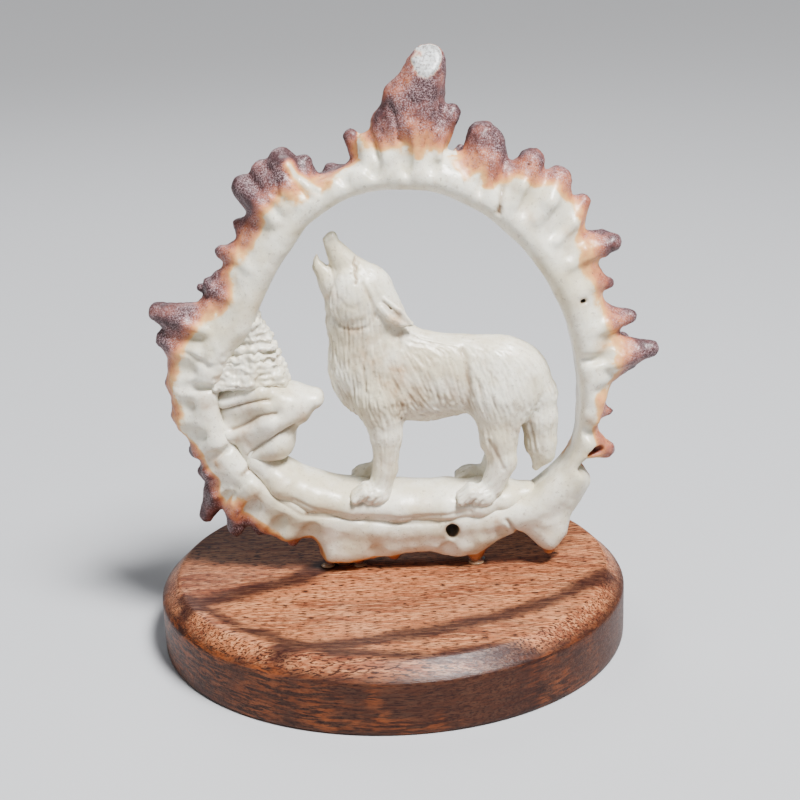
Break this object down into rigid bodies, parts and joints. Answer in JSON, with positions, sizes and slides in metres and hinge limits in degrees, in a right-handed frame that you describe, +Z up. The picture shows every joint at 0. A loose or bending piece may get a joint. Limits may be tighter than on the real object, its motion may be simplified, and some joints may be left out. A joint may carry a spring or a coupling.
{
  "type": "carved antler wolf figurine",
  "caption": "Howling wolf carved inside a spiky antler burr ring, with rocks and a small fir, standing on an oval bevelled hardwood plinth.",
  "frame": {"origin": "centre of the plinth's flat underside", "axes": "+Z up, +X to the right as seen from the front (the wolf's tail side), +Y from front to back; the ring stands in the XZ plane"},
  "size_m": [0.107, 0.094, 0.1257],
  "materials": {
    "hardwood": "satin oil over reddish brown hardwood with fine dark grain along X",
    "antler": "polished antler, ivory on the flat faces and brown on the outer skin; ceramic stands in for antler",
    "antler_carved": "carved and polished ivory coloured antler; ceramic stands in for antler",
    "screw_steel": "bright zinc plated steel",
    "epoxy": "clear hardened epoxy with a warm tint"
  },
  "bodies": {
    "root": {"wood_plinth": "hardwood", "antler_ring": "antler", "ground_ledge": "antler_carved", "rock_outcrop": "antler_carved", "fir_tree": "antler_carved", "wolf": "antler_carved", "mounting_screw_left": "screw_steel", "mounting_screw_right": "screw_steel", "epoxy_beads": "epoxy"}
  },
  "joints": []
}
